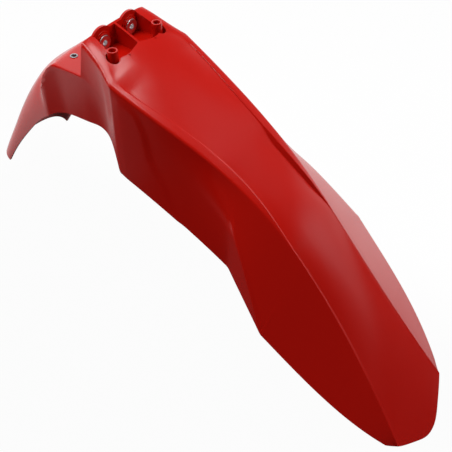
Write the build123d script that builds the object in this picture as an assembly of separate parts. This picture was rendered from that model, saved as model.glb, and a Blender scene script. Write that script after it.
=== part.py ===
from build123d import *
import os
from math import cos, hypot, radians, sin, tan

# Front mudguard of a motorcycle, in millimetres.
# X points forward, Y to the left and Z up along the steering axis.
# The origin is on the clamp face, midway between the two clamp collars.
# A half width is measured from the plane of symmetry, Y = 0.

# Wall of the moulding
WALL = 3.0

# Stations along X, from the clamp face forward
FLANGE_X = 32.0
VALLEY_X = 36.0
SADDLE_X = 51.0
PANEL_X = 150.0
APEX_X = 218.0
BEND_X = 220.5
RAIL_END_X = 284.0
FLARE_X = RAIL_END_X + 10.0
CORNER_X = 469.0
NOSE_X = 497.0
TRIM = 8.0

# Ridge: the upper edge of each side panel
SHOULDER_HALF = 52.0
SHOULDER_Z = 10.5
SADDLE_HALF = 68.0
SADDLE_Z = -13.5
RAIL_END_HALF = 42.3
RAIL_END_Z = -146.0
CORNER_HALF = 62.5
NOSE_Z = -391.0
NOSE_ANGLE = 50.0

# Lower edge of the waist, the side panels and the flares
WAIST_HALF = 60.0
WAIST_LOW_Z = -90.5
FLANGE_LOW_Z = -94.5
PANEL_LOW_HALF = 67.0
PANEL_LOW_Z = -139.0
BEND_HALF = 76.5
BEND_Z = -187.8
FLARE_HALF = 116.0
FLARE_Z = -214.0
TIP_HALF = 69.0
TIP_Z = -364.5
LIP_STRIP = 4.0

# Crease of each side panel: it rises from the flat panel to the apex of the flare's facet
SADDLE_CREASE_Z = -56.0
PANEL_CREASE_HALF = 61.0
PANEL_CREASE_Z = -88.0
APEX_HALF = 73.0
APEX_Z = -119.5
CREASE_RUN_OUT = 0.02
NOSE_CREASE = 0.1

# Rails: raised strips along the ridges, with a step down to the centre panel
ARM_WIDTH = 9.0
ARM_FOOT_HALF = 34.5
ARM_Z = 12.5
ARM_STEP = 0.4
VALLEY_INSET = 9.0
VALLEY_RISE = 1.0
SADDLE_RAIL = 8.0
PANEL_RAIL = 12.3
RAIL_LIFT = 1.5
RAIL_DRAFT = 1.2
RAIL_STEP = 1.4
RAIL_RISE_X = 165.0
RAIL_CREST_X = 204.0
RAIL_CREST = 10.0
RAIL_FALL_X = 245.0
RAIL_CREST_STEP = 5.5
RAIL_RUN_OUT = 1.0
RAIL_RUN_OUT_STEP = 0.1
NOSE_RAIL = 3.0

# Centre line of the top panel
RIB_Z = 14.2
SADDLE_CENTRE_Z = -4.3
PANEL_CENTRE_Z = -52.5
APEX_CENTRE_Z = -94.0
RAIL_END_CENTRE_Z = -141.0
NOSE_CROWN = 1.0

# Front lip: half widths and how far each point lies behind the tip, in the plane of the nose
LIP_BACK = 42.0
LIP_QUARTER_HALF = 52.0
LIP_QUARTER_BACK = 28.4
LIP_ROUND_HALF = 28.0
LIP_ROUND_BACK = 10.8

# Deck behind the tower, and the tail that runs back and down from it
DECK_Z = -27.0
DECK_LENGTH = 46.0
DECK_HALF = 63.6
DECK_LOW_Z = -96.5
DECK_ROUND = 3.5
TAIL_KNEE_X = -65.0
TAIL_KNEE_HALF = 66.8
TAIL_KNEE_LOW_Z = -108.0
TAIL_KNEE_Z = -39.5
TAIL_MID_X = -100.0
TAIL_MID_HALF = 64.0
TAIL_MID_LOW_Z = -140.0
TAIL_MID_Z = -68.0
TAIL_BACK_X = -155.0
TAIL_BACK_Z = -147.5
TAIL_TIP_X = -190.0
TAIL_TIP_Z = -250.0
TAIL_TIP_HALF = 59.0
TAIL_TIP_DEPTH = 50.0
TAIL_ANGLE = 62.0
TAIL_CUT_ANGLE = 54.0
TAIL_TRIM = 28.0

# Round section of the tail: shares of its half width and of its depth
TAIL_SHOULDER_HALF = 0.927
TAIL_SHOULDER_RISE = 0.516
TAIL_EDGE_HALF = 0.734
TAIL_EDGE_RISE = 0.796

# Clamp tower
PLATE = 3.0
SCALLOP_R = 18.3
BOSS_R = 12.5
BOSS = 2.5
FLOOR_Z = -11.0
WELL_WALL = 2.5
RIB = 2.8
WELL_FRONT_X = 37.0
WELL_BULGE_X = 41.5
WELL_BULGE_Y = 22.0
WELL_NECK_X = 38.0
WELL_SIDE_X = 24.0
POST_X = 32.0
POST_Y = 37.5
POST_R = 6.2
POST_BORE_R = 4.2
POST_TOP_Z = 7.7
POST_GAP = 1.8
LOBE_FORWARD = 1.8
LOBE_OUTWARD = 1.4
GUSSET = 1.6
GUSSET_RUN = 7.0
GUSSET_RISE = 10.0

# Clamp collars
COLLAR_Y = 22.4
COLLAR_BORE_R = 3.3
COLLAR_SLEEVE_R = 5.5
COLLAR_FLANGE_R = 8.8
COLLAR_FLANGE = 1.5
COLLAR_CLEARANCE = 0.1

# Deck eyelets
EYELET_X = -35.0
EYELET_Y = 35.0
EYELET_BORE_R = 3.0
EYELET_SLEEVE_R = 3.8
EYELET_RIM_R = 4.7
EYELET_RIM = 0.8
EYELET_CLEARANCE = 0.1


# Guide lines over X

def guide(*knots):
    """Smooth curve through knots of position, value and slope."""
    spans = [pair for pair in zip(knots, knots[1:]) if pair[0][0] < pair[1][0]]

    def value(x):
        start, end = next((pair for pair in spans if x <= pair[1][0]), spans[-1])
        span = end[0] - start[0]
        t = (x - start[0]) / span
        rise = start[1] * (1 + 2 * t) + start[2] * span * t
        fall = end[1] * (3 - 2 * t) + end[2] * span * (t - 1)
        return rise * (1 - t) ** 2 + fall * t ** 2

    return value


end_x = NOSE_X + TRIM
nose_slope = -tan(radians(NOSE_ANGLE))
end_z = NOSE_Z + nose_slope * TRIM

ridge_half = guide(
    (0, SHOULDER_HALF, 0.2),
    (SADDLE_X, SADDLE_HALF, 0.5),
    (SADDLE_X, SADDLE_HALF, -0.08),
    (RAIL_END_X, RAIL_END_HALF, -0.02),
    (CORNER_X, CORNER_HALF, 0.25),
    (end_x, TIP_HALF - LIP_STRIP / 2, 0),
)
ridge_z = guide(
    (0, SHOULDER_Z, -0.25),
    (SADDLE_X, SADDLE_Z, -0.5),
    (SADDLE_X, SADDLE_Z, -0.42),
    (RAIL_END_X, RAIL_END_Z, -1),
    (end_x, end_z, nose_slope),
)
lower_half = guide(
    (0, WAIST_HALF, -0.05),
    (FLANGE_X, WAIST_HALF, 0.2),
    (SADDLE_X, PANEL_LOW_HALF, 0.3),
    (SADDLE_X, PANEL_LOW_HALF, -0.02),
    (BEND_X, BEND_HALF, 0.14),
    (BEND_X, BEND_HALF, 0.54),
    (FLARE_X, FLARE_HALF, 0.54),
    (FLARE_X, FLARE_HALF, -0.13),
    (CORNER_X, TIP_HALF, -0.6),
    (end_x, TIP_HALF, 0),
)
lower_z = guide(
    (0, WAIST_LOW_Z, 0.05),
    (FLANGE_X, FLANGE_LOW_Z, -0.7),
    (SADDLE_X, PANEL_LOW_Z, -5),
    (SADDLE_X, PANEL_LOW_Z, -0.33),
    (BEND_X, BEND_Z, -0.26),
    (BEND_X, BEND_Z, -0.37),
    (FLARE_X, FLARE_Z, -0.37),
    (FLARE_X, FLARE_Z, -0.85),
    (CORNER_X, TIP_Z, -0.95),
    (end_x, end_z - LIP_STRIP, nose_slope),
)

crease_half = guide(
    (0, WAIST_HALF, -0.05),
    (FLANGE_X, WAIST_HALF, 0.1),
    (SADDLE_X, (SADDLE_HALF + PANEL_LOW_HALF) / 2, 0.4),
    (SADDLE_X, (SADDLE_HALF + PANEL_LOW_HALF) / 2, -0.05),
    (PANEL_X, PANEL_CREASE_HALF, 0),
    (APEX_X, APEX_HALF, 0.46),
    (FLARE_X, FLARE_HALF + CREASE_RUN_OUT * (ridge_half(FLARE_X) - FLARE_HALF), 0.5),
)
crease_z = guide(
    (0, DECK_Z, -0.5),
    (SADDLE_X, SADDLE_CREASE_Z, -0.5),
    (PANEL_X, PANEL_CREASE_Z, -0.5),
    (APEX_X, APEX_Z, -0.95),
    (FLARE_X, FLARE_Z + CREASE_RUN_OUT * (ridge_z(FLARE_X) - FLARE_Z), -1.25),
)
crease_share = guide(
    (FLARE_X, CREASE_RUN_OUT, 0),
    (end_x, NOSE_CREASE, 0),
)
rail_width = guide(
    (0, ARM_WIDTH, 0),
    (SADDLE_X, SADDLE_RAIL, 0.03),
    (PANEL_X, PANEL_RAIL, 0),
    (RAIL_CREST_X, RAIL_CREST, -0.07),
    (RAIL_END_X, RAIL_RUN_OUT, -0.06),
    (FLARE_X, RAIL_RUN_OUT, 0),
    (end_x, NOSE_RAIL, 0),
)
rail_lift = guide(
    (0, ARM_Z - SHOULDER_Z, 0),
    (SADDLE_X, RAIL_LIFT, 0),
    (RAIL_FALL_X, RAIL_LIFT, 0),
    (RAIL_END_X, RAIL_RUN_OUT_STEP, 0),
    (end_x, RAIL_RUN_OUT_STEP, 0),
)
foot_inset = guide(
    (0, SHOULDER_HALF - ARM_WIDTH - ARM_FOOT_HALF, 0),
    (VALLEY_X, VALLEY_INSET, -0.4),
    (SADDLE_X, RAIL_DRAFT, -0.3),
    (SADDLE_X, RAIL_DRAFT, 0),
    (end_x, RAIL_DRAFT, 0),
)
foot_step = guide(
    (0, ARM_STEP, 0),
    (VALLEY_X, -VALLEY_RISE, 0),
    (SADDLE_X, RAIL_STEP, 0.05),
    (SADDLE_X, RAIL_STEP, 0),
    (RAIL_RISE_X, RAIL_STEP, 0),
    (RAIL_CREST_X, RAIL_CREST_STEP, 0),
    (RAIL_FALL_X, RAIL_CREST_STEP, 0),
    (RAIL_END_X, RAIL_RUN_OUT_STEP, -0.1),
    (FLARE_X, RAIL_RUN_OUT_STEP, 0),
    (end_x, RAIL_RUN_OUT_STEP, 0),
)
centre_z = guide(
    (0, RIB_Z, -0.3),
    (SADDLE_X, SADDLE_CENTRE_Z, -0.45),
    (PANEL_X, PANEL_CENTRE_Z, -0.55),
    (APEX_X, APEX_CENTRE_Z, -0.66),
    (RAIL_END_X, RAIL_END_CENTRE_Z, -0.9),
    (end_x, end_z + NOSE_CROWN, nose_slope),
)
tail_far = TAIL_TIP_X - TAIL_TRIM
tail_slope = tan(radians(TAIL_ANGLE))
tail_half = guide(
    (tail_far, TAIL_TIP_HALF, 0.03),
    (TAIL_MID_X, TAIL_MID_HALF, 0.07),
    (TAIL_KNEE_X, TAIL_KNEE_HALF, 0),
    (-DECK_LENGTH, DECK_HALF, -0.16),
    (0, WAIST_HALF, -0.05),
)
tail_top_z = guide(
    (tail_far, TAIL_TIP_Z + TAIL_TIP_DEPTH - tail_slope * TAIL_TRIM, 1.8),
    (TAIL_BACK_X, TAIL_BACK_Z, 1.75),
    (TAIL_MID_X, TAIL_MID_Z, 1.15),
    (TAIL_KNEE_X, TAIL_KNEE_Z, 0.85),
    (-DECK_LENGTH, DECK_Z, 0),
    (0, DECK_Z, 0),
)
tail_low_z = guide(
    (tail_far, TAIL_TIP_Z - tail_slope * TAIL_TRIM, tail_slope),
    (TAIL_MID_X, TAIL_MID_LOW_Z, 1.12),
    (TAIL_KNEE_X, TAIL_KNEE_LOW_Z, 0.77),
    (-DECK_LENGTH, DECK_LOW_Z, 0.4),
    (0, WAIST_LOW_Z, 0.05),
)
tail_roundness = guide(
    (tail_far, 1, 0),
    (TAIL_KNEE_X, 1, 0),
    (-DECK_LENGTH, 0, 0),
    (0, 0, 0),
)


# Sections of the shell

# A crown lower than this is a straight line
FLAT = 0.01


def lower(x):
    return Vector(lower_half(x), lower_z(x))


def ridge(x):
    return Vector(ridge_half(x), ridge_z(x))


def crease(x):
    if x < FLARE_X:
        return Vector(crease_half(x), crease_z(x))
    return lower(x) + (ridge(x) - lower(x)) * crease_share(x)


def rail(x):
    return ridge(x) + Vector(-rail_width(x), rail_lift(x))


def foot(x):
    return rail(x) - Vector(foot_inset(x), foot_step(x))


def centre(x):
    return Vector(0, centre_z(x))


def tail_low(x):
    return Vector(tail_half(x), tail_low_z(x))


def tail_point(x, square, half_share, rise_share):
    """Point of a section that turns from the square deck to the round tail."""
    top, low = tail_top_z(x), tail_low_z(x)
    round_point = Vector(tail_half(x) * half_share, low + (top - low) * rise_share)
    return square + (round_point - square) * tail_roundness(x)


def tail_shoulder(x):
    square = Vector(tail_half(x), tail_top_z(x) - DECK_ROUND)
    return tail_point(x, square, TAIL_SHOULDER_HALF, TAIL_SHOULDER_RISE)


def tail_edge(x):
    square = Vector(tail_half(x) - DECK_ROUND, tail_top_z(x))
    return tail_point(x, square, TAIL_EDGE_HALF, TAIL_EDGE_RISE)


def tail_centre(x):
    return Vector(0, tail_top_z(x))


def inner_chain(chain, drift):
    """Points one wall inside a chain of section points, each drifting by so much per millimetre of X."""
    offsets = []
    for i in range(len(chain) - 1):
        along = (chain[i + 1] - chain[i]).normalized()
        inward = Vector(-along.Y, along.X)
        slant = ((drift[i] + drift[i + 1]) * 0.5).dot(inward)
        offsets.append((inward, WALL * hypot(1, slant)))
    inner = [chain[0] + offsets[0][0] * offsets[0][1]]
    for point, (n, depth), (m, next_depth) in zip(chain[1:], offsets, offsets[1:]):
        inner.append(point + (n * depth + m * next_depth) / (1 + n.dot(m)))
    inner.append(chain[-1] - Vector(0, WALL * hypot(1, drift[-1].Y)))
    return inner


def inside(x, lines):
    """Inner chain of the wall behind some lines at one station."""
    drift = [(line(x + 1) - line(x - 1)) / 2 for line in lines]
    return inner_chain([line(x) for line in lines], drift)


def arch(x, chain):
    """Edges from the left end of a chain over its top centre to the right end."""
    left = [(x, point.X, point.Y) for point in chain[:-1]]
    right = [(x, -point.X, point.Y) for point in reversed(chain[:-1])]
    if abs(chain[-1].Y - chain[-2].Y) < FLAT:
        over = Line(left[-1], right[0])
    else:
        over = ThreePointArc(left[-1], (x, 0, chain[-1].Y), right[0])
    return Polyline(*left).edges() + [over] + Polyline(*right).edges()


def wall_ring(x, outer, inner):
    """Closed outline of the wall between two chains."""
    ends = [
        Line((x, side * outer[0].X, outer[0].Y), (x, side * inner[0].X, inner[0].Y))
        for side in (1, -1)
    ]
    return Wire(arch(x, outer) + ends + arch(x, inner))


def shell_span(stations, outer_lines, inner_lines):
    """Length of shell between the first and last station."""
    rings = [
        wall_ring(x, [line(x) for line in outer_lines], inside(x, inner_lines))
        for x in stations
    ]
    return Solid.make_loft(rings)


def spread(start, end, count):
    """Evenly spaced stations from start to end."""
    return [start + (end - start) * i / count for i in range(count + 1)]


def both(part):
    """A left-hand part with its mirror image."""
    return part + mirror(part, about=Plane.XZ)


def rod(radius, height):
    """Cylinder that stands on its base."""
    return Cylinder(radius, height, align=(Align.CENTER, Align.CENTER, Align.MIN))


# Skin: waist, flange, side panels, flares, nose, deck and tail

ARCHED = [lower, crease, ridge, foot, centre]
RAILED = [lower, crease, ridge, rail, foot, centre]
CHANNEL = [tail_low, tail_shoulder, tail_edge, tail_centre]
waist_stations = spread(0, FLANGE_X, 3)
flange_stations = spread(FLANGE_X, SADDLE_X, 4)
panel_stations = spread(SADDLE_X, BEND_X, 10)
facet_stations = spread(BEND_X, RAIL_END_X, 4) + [FLARE_X]
front_stations = spread(FLARE_X, end_x, 18)
deck_stations = spread(-DECK_LENGTH, 0, 2)
tail_stations = spread(tail_far, -DECK_LENGTH, 16)


def skin():
    """Whole skin of the mudguard, one wall thick."""
    body = [waist_stations, flange_stations, panel_stations, facet_stations, front_stations]
    spans = [shell_span(stations, RAILED, ARCHED) for stations in body]
    spans += [shell_span(stations, CHANNEL, CHANNEL) for stations in (deck_stations, tail_stations)]
    whole = Part()
    for span in spans:
        whole += span
    return whole


def lip_space():
    """Space behind the front lip, square to the nose, that trims the skin to the lip's outline."""
    angle = radians(NOSE_ANGLE)
    nose = Plane(
        origin=(NOSE_X, 0, NOSE_Z),
        x_dir=(cos(angle), 0, -sin(angle)),
        z_dir=(sin(angle), 0, cos(angle)),
    )
    left = [
        (-LIP_BACK, TIP_HALF),
        (-LIP_QUARTER_BACK, LIP_QUARTER_HALF),
        (-LIP_ROUND_BACK, LIP_ROUND_HALF),
    ]
    right = [(back, -half) for back, half in reversed(left)]
    reach = NOSE_X - TAIL_TIP_X
    surround = Polyline(
        right[-1],
        (-LIP_BACK, -reach),
        (-2 * reach, -reach),
        (-2 * reach, reach),
        (-LIP_BACK, reach),
        left[0],
    )
    outline = make_face([Spline(*left, (0, 0), *right), surround])
    return extrude(nose * outline, reach, both=True)


def tail_space():
    """Space in front of the cut that ends the tail."""
    angle = radians(TAIL_CUT_ANGLE)
    end = Plane(
        origin=(TAIL_TIP_X, 0, TAIL_TIP_Z),
        x_dir=(0, 1, 0),
        z_dir=(cos(angle), 0, sin(angle)),
    )
    reach = NOSE_X - TAIL_TIP_X
    return extrude(end * Rectangle(2 * reach, 4 * reach), 2 * reach)


# Clamp tower: rear plate, wells, bosses, posts and gussets

def rear_plate():
    """Plate on the clamp face, scalloped round each collar."""
    inset = WALL / 2
    left = [
        (WAIST_HALF - inset, DECK_Z - WALL),
        (WAIST_HALF - inset, DECK_Z),
        (SHOULDER_HALF - inset, SHOULDER_Z - inset),
        (SHOULDER_HALF - ARM_WIDTH, ARM_Z - inset),
    ]
    right = [(-y, z) for y, z in reversed(left)]
    outline = make_face(Polyline(*left, (0, RIB_Z - inset), *right, close=True))
    for side in (1, -1):
        outline += Pos(side * COLLAR_Y, 0) * Circle(SCALLOP_R)
    return extrude(Plane.YZ * outline, PLATE)


def well_outline():
    """Plan of the left well, with a round lobe about its post."""
    corners = [
        (PLATE, RIB / 2),
        (WELL_FRONT_X, RIB / 2),
        (WELL_BULGE_X, WELL_BULGE_Y),
        (WELL_NECK_X, POST_Y),
        (WELL_SIDE_X, POST_Y),
        (PLATE, ARM_FOOT_HALF),
    ]
    lobe = Pos(POST_X + LOBE_FORWARD, POST_Y + LOBE_OUTWARD) * Circle(POST_R + POST_GAP)
    return make_face(Polyline(*corners, close=True)) + lobe


def under_skin():
    """Space under the tower's skin, up to the middle of the wall."""
    rings = []
    for x in waist_stations + flange_stations[1:]:
        middle = [(line(x) + point) / 2 for line, point in zip(ARCHED, inside(x, ARCHED))]
        base = [(x, side * middle[0].X, middle[0].Y) for side in (1, -1)]
        rings.append(Wire(arch(x, middle) + [Line(*base)]))
    return Solid.make_loft(rings, ruled=True)


def gusset():
    """Triangular web between the left well's floor and its front wall."""
    root = WELL_WALL / 2
    profile = Polyline(
        (WELL_BULGE_X + root, FLOOR_Z - root),
        (WELL_BULGE_X - GUSSET_RUN, FLOOR_Z - root),
        (WELL_BULGE_X - GUSSET_RUN, FLOOR_Z),
        (WELL_BULGE_X + root, FLOOR_Z + GUSSET_RISE),
        close=True,
    )
    return Pos(Y=WELL_BULGE_Y) * extrude(Plane.XZ * make_face(profile), GUSSET / 2, both=True)


seat = PLATE + BOSS
collar_axis = Plane(origin=(0, COLLAR_Y, 0), x_dir=(0, 1, 0), z_dir=(1, 0, 0))
eyelet_axis = Pos(EYELET_X, EYELET_Y, DECK_Z - WALL)


def fender_shell():
    """The moulding: skin and clamp tower in one piece."""
    height = ARM_Z + SCALLOP_R - FLOOR_Z
    root = WELL_WALL / 2
    cup = extrude(Pos(Z=FLOOR_Z - WELL_WALL) * offset(well_outline(), WELL_WALL), height)
    well = extrude(Pos(Z=FLOOR_Z) * well_outline(), height)
    post = Pos(POST_X, POST_Y, FLOOR_Z - root) * rod(POST_R, POST_TOP_Z - FLOOR_Z + root)
    post_bore = Pos(POST_X, POST_Y, FLOOR_Z) * rod(POST_BORE_R, height)
    boss = collar_axis * rod(BOSS_R, seat)
    collar_hole = collar_axis * rod(COLLAR_SLEEVE_R + COLLAR_CLEARANCE, seat)
    eyelet_hole = eyelet_axis * rod(EYELET_SLEEVE_R + EYELET_CLEARANCE, WALL)
    shell = skin() & lip_space() & tail_space()
    shell = shell + rear_plate() + (both(cup) & under_skin())
    shell = shell - both(well) + both(boss + post + gusset())
    return shell - both(post_bore) - both(collar_hole) - both(eyelet_hole)


# Metal inserts

def clamp_collar():
    """Flanged collar in the left boss, bored for a clamp bolt."""
    sleeve = rod(COLLAR_SLEEVE_R, seat)
    flange = Pos(Z=seat) * rod(COLLAR_FLANGE_R, COLLAR_FLANGE)
    return collar_axis * (sleeve + flange - rod(COLLAR_BORE_R, seat + COLLAR_FLANGE))


def deck_eyelet():
    """Eyelet in the left half of the deck, with its rim on top."""
    sleeve = rod(EYELET_SLEEVE_R, WALL)
    rim = Pos(Z=WALL) * rod(EYELET_RIM_R, EYELET_RIM)
    return eyelet_axis * (sleeve + rim - rod(EYELET_BORE_R, WALL + EYELET_RIM))


nodes = {
    "fender_shell": fender_shell(),
    "left_clamp_collar": clamp_collar(),
    "right_clamp_collar": mirror(clamp_collar(), about=Plane.XZ),
    "left_deck_eyelet": deck_eyelet(),
    "right_deck_eyelet": mirror(deck_eyelet(), about=Plane.XZ),
}
os.makedirs("parts", exist_ok=True)
for name, node in nodes.items():
    export_step(node, f"parts/{name}.step")
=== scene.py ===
from math import cos, radians, sin, tan

import bmesh
import bpy
import numpy as np
from mathutils import Matrix, Vector


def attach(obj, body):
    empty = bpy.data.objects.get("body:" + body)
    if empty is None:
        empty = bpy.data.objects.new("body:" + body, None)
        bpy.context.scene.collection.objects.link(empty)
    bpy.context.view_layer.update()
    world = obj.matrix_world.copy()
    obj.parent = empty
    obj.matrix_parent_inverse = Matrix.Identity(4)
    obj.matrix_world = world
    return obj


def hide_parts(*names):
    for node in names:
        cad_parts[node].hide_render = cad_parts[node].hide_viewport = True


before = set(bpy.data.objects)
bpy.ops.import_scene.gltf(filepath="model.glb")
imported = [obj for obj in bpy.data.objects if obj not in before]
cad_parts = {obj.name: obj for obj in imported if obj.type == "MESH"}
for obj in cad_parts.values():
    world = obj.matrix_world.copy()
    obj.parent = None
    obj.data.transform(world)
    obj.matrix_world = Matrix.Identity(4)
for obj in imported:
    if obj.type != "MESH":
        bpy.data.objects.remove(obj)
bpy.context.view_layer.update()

# Sizes of the moulding in millimetres, as in the solid

MM = 0.001
WALL = 3.0
PLATE = 3.0
FLANGE_X = 32.0
SADDLE_X = 51.0
PANEL_X = 150.0  # the crease is closest to the middle here
CREST_X = 204.0  # the rail stands highest over the top here
APEX_X = 218.0  # the facet of the flare starts here
BEND_X = 220.5  # the lower edge turns outwards here
RAIL_END_X = 284.0
FLARE_X = 294.0
CORNER_X = 469.0  # the lower edge meets the lip here
NOSE_X = 497.0
NOSE_Z = -391.0
NOSE_ANGLE = radians(50)
TRIM = 8.0
DECK_X = -46.0
DECK_Z = -27.0
DECK_UNDER_Z = DECK_Z - WALL
TAIL_MID_X = -100.0
TAIL_TIP_X = -190.0
TAIL_TIP_Z = -250.0
TAIL_TRIM = 28.0
TAIL_FAR_X = TAIL_TIP_X - TAIL_TRIM
TAIL_ANGLE = radians(62)
TAIL_CUT = radians(54)
TAIL_SQUARE = 2.6
WAIST_END_X = -65.0
WAIST_END_REACH = 12.0
WAIST_END_LOW_Z = -107.1
WAIST_END_TOP_Z = -26.0
LEAST_ROUND = 0.2


# Guide lines over X

SOFT_COUNT = 9


def guide(*knots):
    """Smooth curve through knots of position, value and slope."""
    spans = [pair for pair in zip(knots, knots[1:]) if pair[0][0] < pair[1][0]]

    def value(x):
        x = np.asarray(x, float)
        out = np.zeros_like(x)
        for index, (start, end) in enumerate(spans):
            use = np.ones_like(x, bool)
            if index > 0:
                use &= x > start[0]
            if index < len(spans) - 1:
                use &= x <= end[0]
            span = end[0] - start[0]
            share = (x - start[0]) / span
            rise = start[1] * (1 + 2 * share) + start[2] * span * share
            fall = end[1] * (3 - 2 * share) + end[2] * span * (share - 1)
            out[use] = (rise * (1 - share) ** 2 + fall * share ** 2)[use]
        return out

    return value


def soft(line, reach):
    """The same line with its corners rounded over reach each way."""
    steps = np.linspace(-reach, reach, SOFT_COUNT)

    def value(x):
        return sum(line(np.asarray(x, float) + step) for step in steps) / len(steps)

    return value


end_x = NOSE_X + TRIM
nose_slope = -tan(NOSE_ANGLE)
end_z = NOSE_Z + nose_slope * TRIM
tail_slope = tan(TAIL_ANGLE)

ridge_half = soft(guide(
    (0, 52, 0.2), (SADDLE_X, 68, 0.5), (SADDLE_X, 68, -0.08), (RAIL_END_X, 42.3, -0.02),
    (CORNER_X, 62.5, 0.25), (end_x, 65, 0),
), 2)
ridge_z = soft(guide(
    (0, 10.5, -0.25), (SADDLE_X, -13.5, -0.5), (SADDLE_X, -13.5, -0.42), (RAIL_END_X, -146, -1),
    (end_x, end_z, nose_slope),
), 2)
lower_half = soft(guide(
    (0, 60, -0.05), (FLANGE_X, 60, 0.2), (SADDLE_X, 67, 0.3), (SADDLE_X, 67, -0.02),
    (BEND_X, 76.5, 0.14), (BEND_X, 76.5, 0.54), (FLARE_X, 116, 0.54), (FLARE_X, 116, -0.13),
    (CORNER_X, 69, -0.6), (end_x, 69, 0),
), 1.5)
lower_z = soft(guide(
    (0, -90.5, 0.05), (FLANGE_X, -94.5, -0.7), (SADDLE_X, -139, -5), (SADDLE_X, -139, -0.33),
    (BEND_X, -187.8, -0.26), (BEND_X, -187.8, -0.37), (FLARE_X, -214, -0.37), (FLARE_X, -214, -0.85),
    (CORNER_X, -364.5, -0.95), (end_x, end_z - 4, nose_slope),
), 1.2)
crease_half_line = soft(guide(
    (0, 60, -0.05), (FLANGE_X, 60, 0.1), (SADDLE_X, 67.5, 0.4), (SADDLE_X, 67.5, -0.05),
    (PANEL_X, 61, 0), (APEX_X, 73, 0.46), (FLARE_X, 114.5, 0.5),
), 1.5)
crease_z_line = soft(guide(
    (0, DECK_Z, -0.5), (SADDLE_X, -56, -0.5), (PANEL_X, -88, -0.45), (APEX_X, -119.5, -0.95),
    (FLARE_X, -212.8, -1.25),
), 1.5)
crease_share = guide((FLARE_X, 0.02, 0), (end_x, 0.1, 0))
rail_width = soft(guide(
    (0, 9, 0), (SADDLE_X, 8, 0.03), (PANEL_X, 12.3, 0), (CREST_X, 10, -0.07), (RAIL_END_X, 1, -0.06),
    (FLARE_X, 1, 0), (end_x, 3, 0),
), 3)
rail_lift = soft(guide(
    (0, 2, 0), (36, 2.6, 0), (66, 1.6, 0), (245, 1.5, 0), (RAIL_END_X, 0.1, 0), (end_x, 0.1, 0),
), 3)
foot_inset = soft(guide(
    (0, 10, 0), (36, 9, -0.2), (66, 1.2, -0.1), (178, 1.2, 0), (CREST_X, 4.3, 0), (250, 3.5, -0.03),
    (RAIL_END_X, 0.6, -0.05), (FLARE_X, 1.2, 0), (end_x, 1.2, 0),
), 3)
foot_step = soft(guide(
    (0, -0.5, 0), (36, -1, 0), (52, -0.6, 0), (72, 1.2, 0), (178, 1.4, 0), (CREST_X, 5.5, 0),
    (250, 5, -0.03), (RAIL_END_X, 0.3, -0.1), (FLARE_X, 0.1, 0), (end_x, 0.1, 0),
), 2)
centre_z = soft(guide(
    (0, 14.2, -0.3), (SADDLE_X, -4.3, -0.45), (PANEL_X, -52.5, -0.55), (APEX_X, -94, -0.66),
    (RAIL_END_X, -141, -0.9), (end_x, end_z + 1, nose_slope),
), 3)
tail_half = soft(guide(
    (TAIL_FAR_X, 59, 0.03), (TAIL_MID_X, 64, 0.07), (WAIST_END_X, 67.2, 0.1), (WAIST_END_X, 67.2, -0.2),
    (-42, 62.9, -0.16), (-30, 61.6, -0.06), (0, 60, -0.05),
), 0.8)
tail_edge_z = guide(
    (TAIL_FAR_X, -290, 1.85), (TAIL_MID_X, -96, 1.25), (-62, -47.5, 1.35), (-50, -31.5, 1),
    (-40, DECK_Z, 0), (0, DECK_Z, 0))
tail_low_z = soft(guide(
    (TAIL_FAR_X, TAIL_TIP_Z - tail_slope * TAIL_TRIM, tail_slope), (TAIL_MID_X, -140, 1.12),
    (WAIST_END_X, -108, 0.77), (DECK_X, -96.5, 0.4), (0, -90.5, 0.05),
), 1)
tail_top_z = guide(
    (TAIL_FAR_X, -253, 1.8), (-155, -147.5, 1.75), (TAIL_MID_X, -68, 1.15), (WAIST_END_X, -39.5, 0.85),
    (DECK_X, DECK_Z, 0), (0, DECK_Z, 0))

# X of the end of the waist over Z, and how far the lip draws back over Y
waist_end = guide(
    (WAIST_END_LOW_Z, -64.6, -0.17), (-71.8, -69.5, 0), (-71.8, -69.5, 0.43), (-39.3, -56, 0.7),
    (WAIST_END_TOP_Z, -43, 1))
lip_back = guide((0, 0, 0), (10, -1.3, -0.28), (28, -10.8, -0.72), (52, -28.4, -0.76), (67, -42, -1.1))

# How far each corner of a section is rounded, along both of its sides
crease_round = guide(
    (0, 2, 0), (FLANGE_X, 2, 0), (60, 8, 0), (190, 16, 0), (216, 14, 0), (228, 3, 0), (238, 1.6, 0),
    (FLARE_X, 1.6, 0))
ridge_round = guide(
    (0, 5, 0), (SADDLE_X, 3.5, 0), (120, 3.5, 0), (200, 2, 0), (270, 1.2, 0), (RAIL_END_X, 0.5, 0),
    (310, LEAST_ROUND, 0), (end_x, LEAST_ROUND, 0))
rail_round = guide(
    (0, 6, 0), (40, 6, 0), (72, 1.6, 0), (165, 1.6, 0), (CREST_X, 1, 0), (RAIL_END_X, 0.3, 0), (end_x, 1, 0))
foot_round = guide(
    (0, 9, 0), (40, 11, 0), (72, 2, 0), (165, 2, 0), (CREST_X, 1.2, 0), (RAIL_END_X, 0.4, 0), (end_x, 3, 0))
tail_round = guide((TAIL_FAR_X, 3.5, 0), (DECK_X, 3.5, 0), (-20, 2, 0), (0, 2, 0))


# Lines of the sections, as Y and Z at each X

FLARE_BLEND = 3.0


def eased(share):
    """Share of a way, held between 0 and 1, with a slow start and a slow end."""
    share = np.clip(share, 0, 1)
    return share * share * (3 - 2 * share)


def stack(half, height):
    return np.stack([half, height], axis=1)


def lower(x):
    return stack(lower_half(x), lower_z(x))


def ridge(x):
    return stack(ridge_half(x), ridge_z(x))


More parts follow.
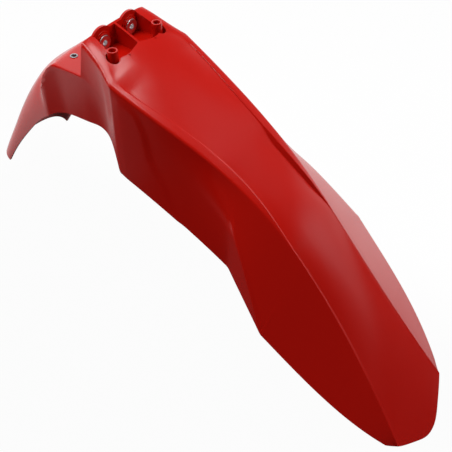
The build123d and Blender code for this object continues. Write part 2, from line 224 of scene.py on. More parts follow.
def crease(x):
    behind = stack(crease_half_line(np.minimum(x, FLARE_X)), crease_z_line(np.minimum(x, FLARE_X)))
    ahead = lower(x) + (ridge(x) - lower(x)) * crease_share(np.maximum(x, FLARE_X))[:, None]
    blend = eased((x - FLARE_X + FLARE_BLEND) / (2 * FLARE_BLEND))[:, None]
    return behind * (1 - blend) + ahead * blend


def rail(x):
    return ridge(x) + stack(-rail_width(x), rail_lift(x))


def foot(x):
    return rail(x) - stack(foot_inset(x), foot_step(x))


def centre(x):
    return stack(np.zeros_like(x), centre_z(x))


def tail_low(x):
    return stack(tail_half(x), tail_low_z(x))


def tail_edge(x):
    return stack(tail_half(x), tail_edge_z(x))


def tail_centre(x):
    return stack(np.zeros_like(x), tail_top_z(x))


BODY = [lower, crease, ridge, foot, centre]
CHANNEL = [tail_low, tail_edge, tail_centre]


def inner_points(x, lines):
    """Points one wall inside the section lines, measured square to the skin."""
    chain = [line(x) for line in lines]
    drift = [(line(x + 1) - line(x - 1)) / 2 for line in lines]
    sides = []
    for i in range(len(chain) - 1):
        along = chain[i + 1] - chain[i]
        along = along / np.linalg.norm(along, axis=1)[:, None]
        inward = stack(-along[:, 1], along[:, 0])
        slant = np.sum((drift[i] + drift[i + 1]) * 0.5 * inward, axis=1)
        sides.append((inward, (WALL * np.hypot(1, slant))[:, None]))
    inner = [chain[0] + sides[0][0] * sides[0][1]]
    for point, (inward, depth), (next_inward, next_depth) in zip(chain[1:], sides, sides[1:]):
        meet = 1 + np.sum(inward * next_inward, axis=1)[:, None]
        inner.append(point + (inward * depth + next_inward * next_depth) / meet)
    inner.append(chain[-1] - stack(0 * x, WALL * np.hypot(1, drift[-1][:, 1])))
    return inner


# Points round a section

SIDE_COUNT = 11
FLANK_COUNT = 9
RAIL_COUNT = 3
STEP_COUNT = 2
CROWN_COUNT = 16
CREASE_COUNT = 5
RIDGE_COUNT = 8
CORNER_COUNT = 5
TOP_COUNT = FLANK_COUNT + RIDGE_COUNT + RAIL_COUNT + CORNER_COUNT + STEP_COUNT + CORNER_COUNT + CROWN_COUNT
MOST_REACH = 0.45
LEAST_LENGTH = 1e-9


def towards(point, target, reach):
    """Point moved towards a target, never as far as half way."""
    way = target - point
    length = np.maximum(np.linalg.norm(way, axis=1), LEAST_LENGTH)
    return point + way * (np.minimum(reach, MOST_REACH * length) / length)[:, None]


def bend(start, point, end, count):
    """Round corner from start to end, pulled to the point."""
    share = np.linspace(0, 1, count)[None, :, None]
    first = (1 - share) ** 2 * start[:, None]
    return first + 2 * share * (1 - share) * point[:, None] + share ** 2 * end[:, None]


def run(start, end, count):
    """Points on a straight line, without its ends."""
    share = (np.arange(1, count + 1) / (count + 1))[None, :, None]
    return start[:, None] * (1 - share) + end[:, None] * share


def crown_at(side, middle, half):
    """Point of the crowned top at a distance from its middle."""
    rise = (middle - side)[:, 1] * (1 - (half / side[:, 0]) ** 2)
    return stack(half, side[:, 1] + rise)


def crown(side, middle, start, count):
    """Points over the crowned top, from start to its middle."""
    shares = 1 - np.arange(1, count + 1) / count
    return np.stack([crown_at(side, middle, start[:, 0] * share) for share in shares], axis=1)


def body_half(x, low, fold, edge, top, base, middle, sharper):
    """Left half of the body's sections. top is None inside, where the rail is solid."""
    fold_reach = crease_round(x)
    edge_reach = np.maximum(ridge_round(x) - sharper, LEAST_ROUND)
    base_reach = foot_round(x) + sharper
    folded = bend(towards(fold, low, fold_reach), fold, towards(fold, edge, fold_reach), CREASE_COUNT)
    beyond = base if top is None else top
    edged = bend(towards(edge, fold, edge_reach), edge, towards(edge, beyond, edge_reach), RIDGE_COUNT)
    inside = edge if top is None else top
    landed = crown_at(base, middle, np.maximum(base[:, 0] - base_reach, 0.5 * base[:, 0]))
    based = bend(towards(base, inside, base_reach), base, landed, CORNER_COUNT)
    parts = [low[:, None], run(low, folded[:, 0], SIDE_COUNT), folded]
    parts += [run(folded[:, -1], edged[:, 0], FLANK_COUNT), edged]
    if top is None:
        parts.append(run(edged[:, -1], based[:, 0], RAIL_COUNT + CORNER_COUNT + STEP_COUNT))
    else:
        reach = rail_round(x)
        topped = bend(towards(top, edge, reach), top, towards(top, base, reach), CORNER_COUNT)
        parts += [run(edged[:, -1], topped[:, 0], RAIL_COUNT), topped]
        parts.append(run(topped[:, -1], based[:, 0], STEP_COUNT))
    parts += [based, crown(base, middle, based[:, -1], CROWN_COUNT)]
    return np.concatenate(parts, axis=1)


def square_half(x, low, edge, middle):
    """Left half of the sections with a flat side wall and a top on it."""
    reach = tail_round(x)
    landed = crown_at(edge, middle, edge[:, 0] - np.minimum(reach, MOST_REACH * edge[:, 0]))
    folded = bend(towards(edge, low, reach), edge, landed, CREASE_COUNT)
    parts = [low[:, None], run(low, folded[:, 0], SIDE_COUNT), folded]
    parts.append(crown(edge, middle, folded[:, -1], TOP_COUNT))
    return np.concatenate(parts, axis=1)


# Degrees round a section at which its side ends, its corner starts and its top starts
SIDE_TURN = 36
CORNER_TURN = 38
TOP_TURN = 50
ROUND_TURNS = np.radians(np.concatenate([
    np.linspace(0, SIDE_TURN, SIDE_COUNT + 1),
    np.linspace(CORNER_TURN, TOP_TURN, CREASE_COUNT),
    TOP_TURN + (90 - TOP_TURN) * np.arange(1, TOP_COUNT + 1) / TOP_COUNT,
]))


def round_half(low, middle):
    """Left half of the sections that are round from the edge to the middle."""
    power = 2 / TAIL_SQUARE
    across = low[:, :1] * np.maximum(np.cos(ROUND_TURNS), 0) ** power
    rise = (middle - low)[:, 1:] * np.sin(ROUND_TURNS) ** power
    across[:, -1] = 0
    return np.stack([across, low[:, 1:] + rise], axis=2)


ROUND_TOP_X = -50.0
ROUND_TOP_REACH = 25.0
INWARD_COUNT = CREASE_COUNT + 8


def tail_half_section(x, low, edge, middle):
    """Left half of the deck's and tail's sections, square up to the end of the waist and round behind it."""
    square = square_half(x, low, edge, middle)
    line = waist_end(np.clip(square[..., 1], WAIST_END_LOW_Z, WAIST_END_TOP_Z))
    side = np.clip((line - x[:, None]) / WAIST_END_REACH, 0, 1)
    side = 1 - (1 - side) ** 2
    top = eased((ROUND_TOP_X - x[:, None]) / ROUND_TOP_REACH)
    inward = np.clip((np.arange(square.shape[1]) - SIDE_COUNT - 1) / INWARD_COUNT, 0, 1)
    share = (side * (1 - inward) + top * inward)[..., None]
    return square * (1 - share) + round_half(low, middle) * share


INNER_SHARPER = 2.4
LEVEL_REACH = 17.0
JOIN_REACH = 12.0


def outer_body(x):
    return body_half(x, lower(x), crease(x), ridge(x), rail(x), foot(x), centre(x), 0)


def at_level(low, fold, level):
    """Point at a level on the line from the lower edge to the crease."""
    slide = (level - low[:, 1]) / (fold[:, 1] - low[:, 1])
    return low + (fold - low) * slide[:, None]


def inner_body(x):
    low, fold, edge, base, middle = inner_points(x, BODY)
    # At the tower's rear face the crease of the inside starts level with the underside of the deck
    share = eased((x - PLATE) / LEVEL_REACH)
    fold = at_level(low, fold, DECK_UNDER_Z * (1 - share) + fold[:, 1] * share)
    return body_half(x, low, fold, edge, None, base, middle, INNER_SHARPER)


def outer_tail(x):
    return tail_half_section(x, tail_low(x), tail_edge(x), tail_centre(x))


def inner_tail(x):
    low, edge, middle = inner_points(x, CHANNEL)
    # Close to the tower the inside of the tail runs into the inside of the body
    near = eased((x + JOIN_REACH) / JOIN_REACH)[:, None]
    body_low, body_fold = inner_points(np.maximum(x, 0), BODY)[:2]
    low = low * (1 - near) + body_low * near
    edge = edge * (1 - near) + at_level(body_low, body_fold, DECK_UNDER_Z) * near
    middle = stack(0 * x, middle[:, 1] * (1 - near[:, 0]) + DECK_UNDER_Z * near[:, 0])
    return tail_half_section(x, low, edge, middle)


# Rows of the skin, trimmed at the lip and at the end of the tail

def columns_between(section, table_x, first, last, shares):
    """Points of each column at shares of the way from its first X to its last."""
    table = section(table_x)
    count = table.shape[1]
    rows = np.zeros((len(shares), count, 3))
    for column in range(count):
        x = first[column] + (last[column] - first[column]) * shares
        rows[:, column, 0] = x
        rows[:, column, 1] = np.interp(x, table_x, table[:, column, 0])
        rows[:, column, 2] = np.interp(x, table_x, table[:, column, 1])
    return rows


def crossing(section, table_x, side):
    """X at which each column of a section crosses from the negative to the positive side of a cut."""
    table = section(table_x)
    found = []
    for column in range(table.shape[1]):
        value = side(table_x, table[:, column, 0], table[:, column, 1])
        found.append(np.interp(0, value, table_x))
    return np.array(found)


def beyond_lip(x, y, z):
    return (x - NOSE_X) * cos(NOSE_ANGLE) - (z - NOSE_Z) * sin(NOSE_ANGLE) - lip_back(np.abs(y))


def before_tail_end(x, y, z):
    return (x - TAIL_TIP_X) * cos(TAIL_CUT) + (z - TAIL_TIP_Z) * sin(TAIL_CUT)


STATION_PAST = 4.0
FACE_REACH = 10.0
TAIL_BREAK = 0.72
TAIL_FAR_ROWS = 40
TAIL_NEAR_ROWS = 21
FRONT_ROWS = 57
FRONT_TABLE_ROWS = 260
TAIL_TABLE_ROWS = 320
TOWER_ROWS = 40


def body_stations():
    """X of the body's rows, closest together at the saddle and at the flare."""
    past_saddle = SADDLE_X + STATION_PAST
    past_flare = FLARE_X + STATION_PAST
    spans = [(0, FLANGE_X, 13), (FLANGE_X, past_saddle, 22), (past_saddle, RAIL_END_X, 66)]
    spans.append((RAIL_END_X, past_flare, 10))
    found = [0.0]
    for start, end, count in spans:
        found += list(np.linspace(start, end, count + 1)[1:])
    return np.array(found)


FRONT_SHARES = np.linspace(0, 1, FRONT_ROWS + 1)[1:]
TAIL_SHARES = np.concatenate([
    np.linspace(0, TAIL_BREAK, TAIL_FAR_ROWS), np.linspace(TAIL_BREAK, 1, TAIL_NEAR_ROWS + 1)[1:],
])
stations = body_stations()
front_table = np.linspace(stations[-1], end_x, FRONT_TABLE_ROWS)
tail_table = np.linspace(TAIL_FAR_X, PLATE, TAIL_TABLE_ROWS)


def placed(x, half):
    """Points of sections, each with its X."""
    return np.concatenate([np.broadcast_to(x[:, None, None], half.shape[:2] + (1,)), half], axis=2)


def skin_rows(tail_section, body_section, shift):
    """Rows of one face of the skin, from the tail's end to the lip. shift moves the tower's rear face."""
    start = crossing(tail_section, tail_table, before_tail_end)
    tail = columns_between(tail_section, tail_table, start, np.full_like(start, shift), TAIL_SHARES)
    x = np.where(stations < FACE_REACH, shift + stations * (FACE_REACH - shift) / FACE_REACH, stations)
    body = placed(x, body_section(x))
    end = crossing(body_section, front_table, beyond_lip)
    front = columns_between(body_section, front_table, np.full_like(end, x[-1]), end, FRONT_SHARES)
    return np.concatenate([tail, body, front], axis=0)


# Z and X along the line behind which the side panel stands prouder
PANEL_LINE = [
    (-180, 152), (-173, 150), (-151, 132), (-127, 120), (-94, 100), (-62, 94), (-38, 84), (-27, 77),
    (-10, 70),
]
PANEL_RISE = 1.1
PANEL_STEP = 1.6
PANEL_FADE = 12.0
PANEL_DROP = 3.0
PANEL_LENGTH = 90.0
STEP_LIMIT = 40


def panel_swell(points):
    """The side panel stands a little prouder behind a slanting line."""
    x, y, z = points[..., 0], points[..., 1], points[..., 2]
    line_z, line_x = np.array(PANEL_LINE, float).T
    ahead = x - np.interp(z, line_z, line_x)
    step = 1 / (1 + np.exp(np.clip(ahead / PANEL_STEP, -STEP_LIMIT, STEP_LIMIT)))
    below = np.clip((ridge_z(x.ravel()).reshape(x.shape) - PANEL_DROP - z) / PANEL_FADE, 0, 1)
    start = np.clip((x - SADDLE_X) / PANEL_FADE, 0, 1)
    points[..., 1] = y + PANEL_RISE * step * below * start * (ahead > -PANEL_LENGTH)
    return points


def whole_rows(half):
    """Both halves of each row, from the left edge to the right."""
    other = half[:, -2::-1].copy()
    other[..., 1] *= -1
    return np.concatenate([half, other], axis=1)


outer = whole_rows(panel_swell(skin_rows(outer_tail, outer_body, 0.0)))
inner = whole_rows(skin_rows(inner_tail, inner_body, PLATE))


# Meshes

MERGE = 1e-6
SLIVER = 1e-7


def mesh_object(name, points, faces):
    """Mesh from points in millimetres."""
    mesh = bpy.data.meshes.new(name)
    mesh.from_pydata([tuple(point) for point in np.asarray(points) * MM], [], faces)
    made = bpy.data.objects.new(name, mesh)
    bpy.context.scene.collection.objects.link(made)
    return made


def tidy_mesh(made):
    """Doubles merged and faces turned outwards."""
    work = bmesh.new()
    work.from_mesh(made.data)
    bmesh.ops.remove_doubles(work, verts=work.verts, dist=MERGE)
    bmesh.ops.dissolve_degenerate(work, edges=work.edges, dist=SLIVER)
    bmesh.ops.recalc_face_normals(work, faces=work.faces)
    work.to_mesh(made.data)
    work.free()
    return made


def skin():
    """The skin with both of its faces and its edges, closed."""
    rows, columns = outer.shape[:2]
    points = np.concatenate([outer.reshape(-1, 3), inner.reshape(-1, 3)])
    under = rows * columns
    faces = []
    for i in range(rows - 1):
        for j in range(columns - 1):
            corner = i * columns + j
            quad = (corner, corner + columns, corner + columns + 1, corner + 1)
            faces += [quad, tuple(under + point for point in reversed(quad))]
        for j in (0, columns - 1):
            corner = i * columns + j
            edge = (corner, under + corner, under + corner + columns, corner + columns)
            faces.append(edge if j == 0 else edge[::-1])
    for j in range(columns - 1):
        for i in (0, rows - 1):
            corner = i * columns + j
            end = (corner, corner + 1, under + corner + 1, under + corner)
            faces.append(end if i == 0 else end[::-1])
    return tidy_mesh(mesh_object("fender_skin", points, faces))


def prism(name, outline, low, high):
    """Upright prism over an outline of X and Y."""
    count = len(outline)
    points = [(x, y, low) for x, y in outline] + [(x, y, high) for x, y in outline]
    faces = [tuple(range(count))[::-1], tuple(range(count, 2 * count))]
    faces += [(i, (i + 1) % count, count + (i + 1) % count, count + i) for i in range(count)]
    return tidy_mesh(mesh_object(name, points, faces))


def apply_changes(made):
    """The object's modifiers made part of its mesh, and removed."""
    bpy.context.view_layer.update()
    graph = bpy.context.evaluated_depsgraph_get()
    shaped = bpy.data.meshes.new_from_object(made.evaluated_get(graph))
    made.modifiers.clear()
    old = made.data
    made.data = shaped
    bpy.data.meshes.remove(old)


def join(target, tool, operation):
    """Adds, cuts or keeps the part of a mesh that another takes up."""
    change = target.modifiers.new(operation.lower(), "BOOLEAN")
    change.operation = operation
    change.solver = "MANIFOLD"
    change.object = tool
    apply_changes(target)
    bpy.data.objects.remove(tool)
    return target


# Clamp tower

RIB = 2.8
WELL_WALL = 2.5
FLOOR_Z = -11.0
TOP_Z = 40.0
POST_X = 32.0
POST_Y = 37.5
POST_LOBE = (33.8, 38.9)
POST_LOBE_R = 8.0
PLATE_LOBE_R = 18.3
COLLAR_Y = 22.4
COLLAR_HOLE_R = 5.6
SEAT = 5.5
WELL = [(PLATE, RIB / 2), (37, RIB / 2), (41.5, 22), (38, 37.5), (24, 37.5), (PLATE, 34.5)]
WELL_ROUND = [0.8, 2.5, 6, 2, 2, 0.8]
CLAMP_TURN = Matrix.Rotation(radians(90), 4, "Y")  # from upright to square on the clamp face


def rounded(outline, reaches, count=5):
    """Closed outline with its corners rounded."""
    points = []
    for i, (point, reach) in enumerate(zip(outline, reaches)):
        middle = np.array([point], float)
        before = np.array([outline[i - 1]], float)
        after = np.array([outline[(i + 1) % len(outline)]], float)
        reach = np.array([reach])
        turn = bend(towards(middle, before, reach), middle, towards(middle, after, reach), count)
        points += [tuple(p) for p in turn[0]]
    return points


def grown(outline, margin):
    """Closed outline moved outwards by a margin."""
    points = []
    for i in range(len(outline)):
        before, corner, after = (Vector(outline[k % len(outline)]) for k in (i - 1, i, i + 1))
        arriving = corner - before
        leaving = after - corner
        first = Vector((arriving.y, -arriving.x)).normalized()
        second = Vector((leaving.y, -leaving.x)).normalized()
        moved = corner + (first + second) * (margin / (1 + first.dot(second)))
        points.append((moved.x, moved.y))
    return points


def circle(middle, radius, count=48):
    turns = np.linspace(0, 2 * np.pi, count, endpoint=False)
    return [(middle[0] + radius * cos(turn), middle[1] + radius * sin(turn)) for turn in turns]


def mirrored(outline):
    return [(x, -y) for x, y in reversed(outline)]


def both_sides(name, outline, low, high):
    made = prism(name, outline, low, high)
    return join(made, prism(name, mirrored(outline), low, high), "UNION")


def well_space(margin, low, high):
    """Space of both wells with a round lobe about each post."""
    outline = rounded(grown(WELL, margin) if margin else WELL, WELL_ROUND)
    made = both_sides("well", outline, low, high)
    return join(made, both_sides("lobe", circle(POST_LOBE, POST_LOBE_R + margin), low, high), "UNION")


def under_skin():
    """Space under the tower's skin, up to the middle of the wall."""
    x = np.linspace(PLATE / 2, SADDLE_X, TOWER_ROWS)
    half = (outer_body(x) + inner_body(np.maximum(x, PLATE))) / 2
    rows = whole_rows(placed(x, half))
    count, columns = rows.shape[:2]
    faces = [tuple(range(columns)), tuple(range((count - 1) * columns, count * columns))[::-1]]
    for i in range(count - 1):
        for j in range(columns):
            row = i * columns
            k = (j + 1) % columns
            faces.append((row + j, row + columns + j, row + columns + k, row + k))
    return tidy_mesh(mesh_object("under_skin", rows.reshape(-1, 3), faces))


# Nodes written as expressions

class Value:
    """A socket of a node tree, with arithmetic."""

    def __init__(self, tree, socket):
        self.tree = tree
        self.socket = socket

    def node(self, kind, settings=None, output=0, **values):
        made = self.tree.nodes.new(kind)
        for name, setting in (settings or {}).items():
            setattr(made, name, setting)
        for name, value in values.items():
            self.plug(made, name, value)
        return Value(self.tree, made.outputs[output])

    def plug(self, made, name, value):
        key = int(name[1:]) if name[0] == "_" else name.replace("__", " ")
        socket = made.inputs[key]
        for item in value if isinstance(value, list) else [value]:
            if isinstance(item, Value):
                self.tree.links.new(item.socket, socket)
            else:
                socket.default_value = item

    def math(self, operation, a, b):
        return self.node("ShaderNodeMath", {"operation": operation}, _0=a, _1=b)

    def __add__(self, other):
        return self.math("ADD", self, other)

    def __radd__(self, other):
        return self.math("ADD", other, self)

    def __sub__(self, other):
        return self.math("SUBTRACT", self, other)

    def __rsub__(self, other):
        return self.math("SUBTRACT", other, self)

    def __mul__(self, other):
        return self.math("MULTIPLY", self, other)

    def __rmul__(self, other):
        return self.math("MULTIPLY", other, self)


# Turned pieces, one Geometry Nodes tree for all of them

RING_SIZES = ["Bore", "Foot Radius", "Foot Height", "Body Radius", "Body Height", "Edge", "Half Spacing"]
RING_SIDES = 64
EDGE_STEPS = 3


def ring_tree():
    """A bored foot and body on one axis, made at both sides."""
    tree = bpy.data.node_groups.new("turned_pair", "GeometryNodeTree")
    for name in RING_SIZES:
        tree.interface.new_socket(name, in_out="INPUT", socket_type="NodeSocketFloat")
    tree.interface.new_socket("Finish", in_out="INPUT", socket_type="NodeSocketMaterial")
    tree.interface.new_socket("Geometry", in_out="OUTPUT", socket_type="NodeSocketGeometry")
    sizes = tree.nodes.new("NodeGroupInput")
    size = {name: Value(tree, sizes.outputs[name]) for name in RING_SIZES + ["Finish"]}
    bore = size["Bore"]

    def ring(radius, height):
        profile = bore.node("GeometryNodeCurvePrimitiveQuadrilateral", Width=radius - bore, Height=height)
        profile = bore.node(
            "GeometryNodeFilletCurve", {"mode": "POLY"},
            Curve=profile, Count=EDGE_STEPS, Radius=size["Edge"])
        path = bore.node(
            "GeometryNodeCurvePrimitiveCircle", Resolution=RING_SIDES, Radius=(radius + bore) * 0.5)
        swept = bore.node("GeometryNodeCurveToMesh", Curve=path, Profile__Curve=profile)
        lift = bore.node("ShaderNodeCombineXYZ", Z=height * 0.5)
        return bore.node("GeometryNodeTransform", Geometry=swept, Translation=lift)

    rings = [ring(size[f"{part} Radius"], size[f"{part} Height"]) for part in ("Foot", "Body")]
    united = bore.node(
        "GeometryNodeMeshBoolean", {"operation": "UNION", "solver": "MANIFOLD"}, Mesh__2=rings)
    offset = bore.node("ShaderNodeCombineXYZ", Y=size["Half Spacing"] * -2.0)
    first = bore.node("ShaderNodeCombineXYZ", Y=size["Half Spacing"])
    places = bore.node("GeometryNodeMeshLine", Count=2, Start__Location=first, Offset=offset)
    pair = bore.node("GeometryNodeInstanceOnPoints", Points=places, Instance=united)
    real = bore.node("GeometryNodeRealizeInstances", Geometry=pair)
    finished = bore.node("GeometryNodeSetMaterial", Geometry=real, Material=size["Finish"])
    end = tree.nodes.new("NodeGroupOutput")
    tree.links.new(finished.socket, end.inputs["Geometry"])
    return tree


turned_pair = ring_tree()


def turned(name, finish, place, upright, **sizes):
    """A pair of turned pieces with sizes in millimetres, at a place in the frame."""
    made = mesh_object(name, [(0, 0, 0)], [])
    change = made.modifiers.new("turned", "NODES")
    change.node_group = turned_pair
    for item in turned_pair.interface.items_tree:
        key = item.name.replace(" ", "_").lower()
        if item.in_out == "INPUT" and key in sizes:
            change[item.identifier] = sizes[key] * MM
        if item.name == "Finish":
            change[item.identifier] = finish
    apply_changes(made)
    turn = Matrix() if upright else CLAMP_TURN
    made.data.transform(Matrix.Translation(Vector(place) * MM) @ turn)
    return tidy_mesh(made)


# Finishes

RED = (0.50, 0.005, 0.0015, 1)
PALER_RED = (0.54, 0.006, 0.002, 1)
RUB_SPREAD = 0.12
DUST_SPREAD = 0.05
STAINED_SHARE = 0.8
GRAIN_SPREAD = 0.16


def new_finish(name):
    """A material with its shader and the object's own coordinates."""
    finish = bpy.data.materials.new(name)
    finish.use_nodes = True
    tree = finish.node_tree
    shader = tree.nodes["Principled BSDF"]
    where = tree.nodes.new("ShaderNodeTexCoord")
    return finish, shader, Value(tree, where.outputs["Object"])


def noise(where, scale, detail, **more):
    return where.node("ShaderNodeTexNoise", Vector=where, Scale=scale, Detail=detail, **more)


def colour_mix(share, low, high):
    return share.node("ShaderNodeMix", {"data_type": "RGBA"}, 2, Factor=share, A=low, B=high)


def moulded_red(name, roughness, peel):
    """Moulded plastic, slightly wavy, with faint dust and rubbing in its gloss."""
    finish, shader, where = new_finish(name)
    broad = noise(where, 9.0, 3.0)
    dust = noise(where, 240.0, 2.0)
    rub = noise(where, 38.0, 6.0, Roughness=0.7)
    where.plug(shader, "Base Color", colour_mix(broad, RED, PALER_RED))
    where.plug(shader, "Roughness", roughness + (rub - 0.5) * RUB_SPREAD + (dust - 0.5) * DUST_SPREAD)
    waves = noise(where, 160.0, 1.0)
    bump = where.node("ShaderNodeBump", Strength=peel, Distance=0.0004, Height=waves)
    where.plug(shader, "Normal", bump)
    where.plug(shader, "Specular IOR Level", 0.45)
    return finish


def turned_steel(name, tint, roughness):
    """Steel with a fine grain and faint stains."""
    finish, shader, where = new_finish(name)
    grain = noise(where, 900.0, 2.0)
    stain = noise(where, 120.0, 4.0)
    stained = tuple(STAINED_SHARE * part for part in tint)
    where.plug(shader, "Base Color", colour_mix(stain, stained + (1,), tint + (1,)))
    where.plug(shader, "Roughness", roughness + grain * GRAIN_SPREAD)
    bump = where.node("ShaderNodeBump", Strength=0.12, Distance=0.0001, Height=grain)
    where.plug(shader, "Normal", bump)
    where.plug(shader, "Metallic", 1.0)
    return finish


gloss_red = moulded_red("gloss_red", roughness=0.2, peel=0.04)
collar_steel = turned_steel("collar_steel", tint=(0.86, 0.86, 0.88), roughness=0.3)
eyelet_steel = turned_steel("eyelet_steel", tint=(0.5, 0.5, 0.52), roughness=0.2)


# The moulding

EYELET_X = -35.0
EYELET_Y = 35.0
EYELET_HOLE_R = 3.9
EYELET_CUT = (-40.0, -20.0)
GUSSET_Y = 22.0
GUSSET_HALF = 0.8
GUSSET = [(43, -12.2), (34.5, -12.2), (34.5, FLOOR_Z), (43, -0.4)]
DISC_INSET = 0.01
DISC_SIDES = 96
BOSS_START = 0.5
POST_SUNK = 1.0
CUT_PAST = 1.0


def disc(middle, radius, low, high):
    """Disc on the clamp face, between two distances from it."""
    made = prism("disc", circle((0, 0), radius, DISC_SIDES), low, high)
    made.data.transform(Matrix.Translation(Vector((0, middle * MM, 0))) @ CLAMP_TURN)
    return tidy_mesh(made)


def gusset(side):
    """Triangular web between the floor of a well and its front wall."""
    faces_y = (side * GUSSET_Y + GUSSET_HALF, side * GUSSET_Y - GUSSET_HALF)
    points = [(x, y, z) for y in faces_y for x, z in GUSSET]
    faces = [(0, 1, 2, 3), (7, 6, 5, 4)] + [(i, 4 + i, 4 + (i + 1) % 4, (i + 1) % 4) for i in range(4)]
    return tidy_mesh(mesh_object("gusset", points, faces))


def moulding():
    """Skin and clamp tower in one piece."""
    made = skin()
    for side in (1, -1):
        join(made, disc(side * COLLAR_Y, PLATE_LOBE_R, DISC_INSET, PLATE - DISC_INSET), "UNION")
    cup = join(well_space(WELL_WALL, FLOOR_Z - WELL_WALL, TOP_Z), under_skin(), "INTERSECT")
    join(made, cup, "UNION")
    join(made, well_space(0, FLOOR_Z, TOP_Z), "DIFFERENCE")
    for side in (1, -1):
        join(made, gusset(side), "UNION")
        join(made, disc(side * COLLAR_Y, COLLAR_HOLE_R, -CUT_PAST, SEAT + CUT_PAST), "DIFFERENCE")
    bosses = turned(
        "bosses", gloss_red, (BOSS_START, 0, 0), False, bore=COLLAR_HOLE_R, foot_radius=12.5,
        foot_height=3.8, body_radius=10.4, body_height=SEAT - BOSS_START, edge=0.35, half_spacing=COLLAR_Y)
    join(made, bosses, "UNION")
    posts = turned(
        "posts", gloss_red, (POST_X, 0, FLOOR_Z - POST_SUNK), True, bore=4.2, foot_radius=7.4,
        foot_height=3.2, body_radius=6.2, body_height=19.7, edge=0.5, half_spacing=POST_Y)
    join(made, posts, "UNION")
    for side in (1, -1):
        hole = circle((EYELET_X, side * EYELET_Y), EYELET_HOLE_R)
        join(made, prism("eye", hole, *EYELET_CUT), "DIFFERENCE")
    return made


def dress(piece, finish, sharp):
    """One finish, smooth faces, and edges that stay sharp past an angle in degrees."""
    piece.data.materials.clear()
    piece.data.materials.append(finish)
    piece.data.polygons.foreach_set("use_smooth", [True] * len(piece.data.polygons))
    piece.data.set_sharp_from_angle(angle=radians(sharp))


shell = moulding()
shell.name = "mudguard"
collars = turned(
    "clamp_collars", collar_steel, (0, 0, 0), False, bore=3.3, foot_radius=5.5, foot_height=7,
    body_radius=5.5, body_height=7, edge=0.4, half_spacing=COLLAR_Y)
collar_rims = turned(
    "collar_rims", collar_steel, (SEAT, 0, 0), False, bore=4.4, foot_radius=8.8, foot_height=1.5,
    body_radius=8, body_height=1.5, edge=0.35, half_spacing=COLLAR_Y)
join(collars, collar_rims, "UNION")
eyelets = turned(
    "deck_eyelets", eyelet_steel, (EYELET_X, 0, DECK_UNDER_Z), True, bore=3, foot_radius=3.8,
    foot_height=3.8, body_radius=3.8, body_height=3.8, edge=0.25, half_spacing=EYELET_Y)
eyelet_rims = turned(
    "eyelet_rims", eyelet_steel, (EYELET_X, 0, DECK_Z), True, bore=3.4, foot_radius=4.7, foot_height=0.8,
    body_radius=4.7, body_height=0.8, edge=0.3, half_spacing=EYELET_Y)
join(eyelets, eyelet_rims, "UNION")
dress(shell, gloss_red, sharp=30)
dress(collars, collar_steel, sharp=40)
dress(eyelets, eyelet_steel, sharp=40)

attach(shell, "root")
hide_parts("fender_shell")
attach(collars, "root")
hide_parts("left_clamp_collar", "right_clamp_collar")
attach(eyelets, "root")
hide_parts("left_deck_eyelet", "right_deck_eyelet")


# Floor, light and camera, in metres

FLOOR_LEVEL = -0.40
FLOOR_HALF = 6.0
# To the object the floor is mostly a dark painted shade. Only its pale patches are pale.
FLOOR_PAINTED_SHADE = (0.02, 0.02, 0.02, 1)
FLOOR_PALE = (0.85, 0.85, 0.85, 1)
FLOOR_WHITE_SHARE = 0.97
FLOOR_MIRROR_SHARE = 0.9
WORLD_MIRROR_SHARE = 0.02
WORLD_BASE = 0.02
WHITE = (1, 1, 1, 1)
FILL_AIM = (0.15, 0, -0.1)
SENSOR = 36.0
FOCAL_PIXELS = 650
PHOTO_PIXELS = 452
CAMERA_PLACE = (0.488, -0.475, 0.398)
CAMERA_RIGHT = (0.8117, 0.5836, 0.0233)
CAMERA_BACK = (0.3837, -0.5628, 0.7321)


def largest(first, *others):
    for other in others:
        first = first.math("MAXIMUM", first, other)
    return first


def background_share(tree, mirrored_share):
    """1 where the camera looks straight at the surroundings, and part of that in reflections."""
    path = tree.nodes.new("ShaderNodeLightPath")
    straight = Value(tree, path.outputs["Is Camera Ray"])
    glass = Value(tree, path.outputs["Is Transmission Ray"])
    gloss = Value(tree, path.outputs["Is Glossy Ray"])
    return largest(straight, glass, gloss * mirrored_share)


def smooth(value, start, end):
    """Smooth rise from 0 to 1."""
    return value.node(
        "ShaderNodeMapRange", {"interpolation_type": "SMOOTHSTEP"},
        Value=value, From__Min=start, From__Max=end)


def axes(tree, output):
    """X, Y and Z of a texture coordinate."""
    place = Value(tree, tree.nodes.new("ShaderNodeTexCoord").outputs[output])
    return [place.node("ShaderNodeSeparateXYZ", None, axis, Vector=place) for axis in range(3)]


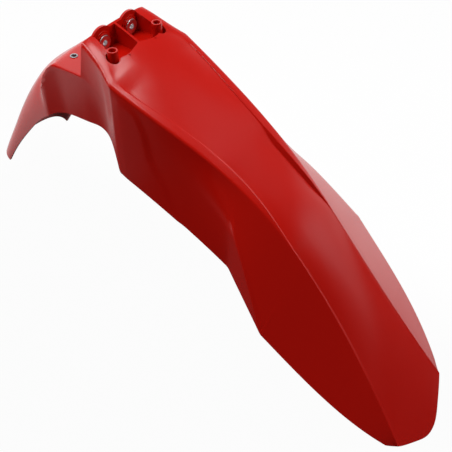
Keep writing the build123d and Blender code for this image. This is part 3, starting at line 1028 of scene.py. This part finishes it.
def pale_floor():
    """Floor that the camera sees almost white, with a faint shadow. To the object it is dark, a painted
    shade, with pale patches that glow in its gloss as painted reflections.
    """
    corners = [(-1, -1), (1, -1), (1, 1), (-1, 1)]
    points = np.array([(FLOOR_HALF * x, FLOOR_HALF * y, FLOOR_LEVEL) for x, y in corners])
    made = mesh_object("floor", points / MM, [(0, 1, 2, 3)])
    finish = bpy.data.materials.new("pale_floor")
    finish.use_nodes = True
    tree = finish.node_tree
    tree.nodes.remove(tree.nodes["Principled BSDF"])
    x, y = axes(tree, "Object")[:2]
    # How pale the floor is on the far side, at the rear, beside the tail and below the object; these pale
    # patches are painted reflections for the object's gloss, and the dark rest is a painted shade
    far = smooth(y, 0.05, 0.3) * (1.0 - smooth(x, 0.48, 0.66))
    rear = smooth(x * -1.0, 0.28, 0.42) * smooth(y * 0.5 - x, -0.1, 0.15) * 0.55
    beside = smooth(x * -1.0, 0.1, 0.13) * smooth(y, -0.75, -0.5) * 0.05
    below = smooth(y, -0.25, -0.17) * 0.02
    painted_light_sheet = largest(rear, beside, below, far)
    # In the gloss the pale patches glow white as painted reflections.
    share = background_share(tree, painted_light_sheet * FLOOR_MIRROR_SHARE)
    matt = share.node("ShaderNodeBsdfDiffuse", Color=colour_mix(painted_light_sheet, FLOOR_PAINTED_SHADE, FLOOR_PALE))
    white = share.node("ShaderNodeEmission", Color=WHITE, Strength=1.0)
    mixed = share.node("ShaderNodeMixShader", _0=share * FLOOR_WHITE_SHARE, _1=matt, _2=white)
    tree.links.new(mixed.socket, tree.nodes["Material Output"].inputs["Surface"])
    made.data.materials.append(finish)


def surroundings():
    """World that the camera sees white, and that lights the object from the left and the rear."""
    world = bpy.data.worlds.new("studio")
    world.use_nodes = True
    bpy.context.scene.world = world
    tree = world.node_tree
    share = background_share(tree, WORLD_MIRROR_SHARE)
    x, y, z = axes(tree, "Generated")
    left = smooth(y, 0.1, 0.5) * 0.1
    low_left = smooth(y, 0.3, 0.6) * (1.0 - smooth(z, 0.35, 0.55)) * (1.0 - smooth(x, 0.75, 0.95)) * 0.4
    wall = smooth(y, 0.75, 0.95) * (1.0 - smooth(z, 0.15, 0.4)) * 0.7
    rear = smooth(x * -1.0, 0.3, 0.6) * smooth(y, -0.5, 0.0) * 0.9
    strength = (WORLD_BASE + left + low_left + wall + rear) * (1.0 - share) + share
    share.plug(tree.nodes["Background"], "Color", WHITE)
    share.plug(tree.nodes["Background"], "Strength", strength)


def softbox(name, place, aim, size, power, mirrored=True):
    """Soft lamp that faces a point. A fill lamp is not mirrored in the gloss."""
    lamp = bpy.data.lights.new(name, "AREA")
    lamp.shape = "RECTANGLE"
    lamp.size, lamp.size_y = size
    lamp.energy = power
    made = bpy.data.objects.new(name, lamp)
    bpy.context.scene.collection.objects.link(made)
    made.visible_glossy = mirrored
    made.location = place
    made.rotation_euler = (Vector(aim) - Vector(place)).to_track_quat("-Z", "Y").to_euler()


def camera():
    """Camera solved from the photograph."""
    lens = bpy.data.cameras.new("camera")
    lens.sensor_width = SENSOR
    lens.lens = FOCAL_PIXELS / PHOTO_PIXELS * SENSOR
    made = bpy.data.objects.new("camera", lens)
    bpy.context.scene.collection.objects.link(made)
    right = Vector(CAMERA_RIGHT).normalized()
    back = Vector(CAMERA_BACK).normalized()
    up = back.cross(right).normalized()
    right = up.cross(back)
    turn = Matrix((right, up, back)).transposed().to_4x4()
    made.matrix_world = Matrix.Translation(CAMERA_PLACE) @ turn
    bpy.context.scene.camera = made


pale_floor()
surroundings()
softbox("overhead", (-0.02, 0.28, 1.4), (0.05, 0, 0), (0.45, 0.62), 6)
softbox("rear_top", (-0.32, -0.39, 1.2), (0.02, -0.05, 0), (0.42, 0.62), 6.5)
softbox("rear_high", (-0.25, -0.7, 1.05), FILL_AIM, (0.6, 0.6), 3.5, mirrored=False)
softbox("front_left", (0.6, 0.78, 0.97), FILL_AIM, (0.6, 0.6), 4.6, mirrored=False)
softbox("front_low", (1.22, 0.85, 0.26), FILL_AIM, (0.5, 0.5), 6, mirrored=False)
softbox("rear_right", (-0.9, -0.9, 0.2), (0, 0, -0.1), (0.4, 0.4), 5, mirrored=False)
camera()
bpy.context.scene.view_settings.view_transform = "Standard"
